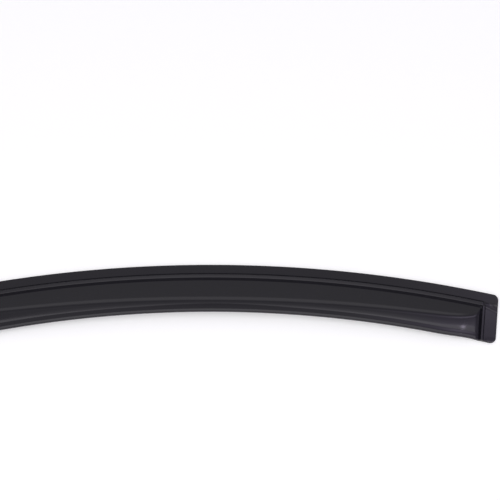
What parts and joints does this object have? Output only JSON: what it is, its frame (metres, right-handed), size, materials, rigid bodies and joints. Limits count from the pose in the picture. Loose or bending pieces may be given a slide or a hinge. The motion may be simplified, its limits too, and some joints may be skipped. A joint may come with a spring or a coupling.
{
  "type": "window rain deflector",
  "caption": "Arched smoked-acrylic strip with a flat flange, raised bead, hollow hood and turned lip, taped over a car's side window to keep rain out.",
  "frame": {"origin": "middle of the strip's outline in plan, on the plane that the tape liners lie on", "axes": "+X along the strip, +Y towards the outer edge with the long flange, +Z out of the face, away from the door"},
  "size_m": [0.7206, 0.1054, 0.0184],
  "materials": {
    "smoked_acrylic": "polished dark smoke acrylic",
    "foam_tape": "matte closed-cell acrylic foam",
    "liner_film": "satin release film"
  },
  "bodies": {
    "root": {"deflector_shell": "smoked_acrylic", "top_tape": "foam_tape", "left_end_tape": "foam_tape", "right_end_tape": "foam_tape", "top_liner": "liner_film", "left_end_liner": "liner_film", "right_end_liner": "liner_film"}
  },
  "joints": []
}
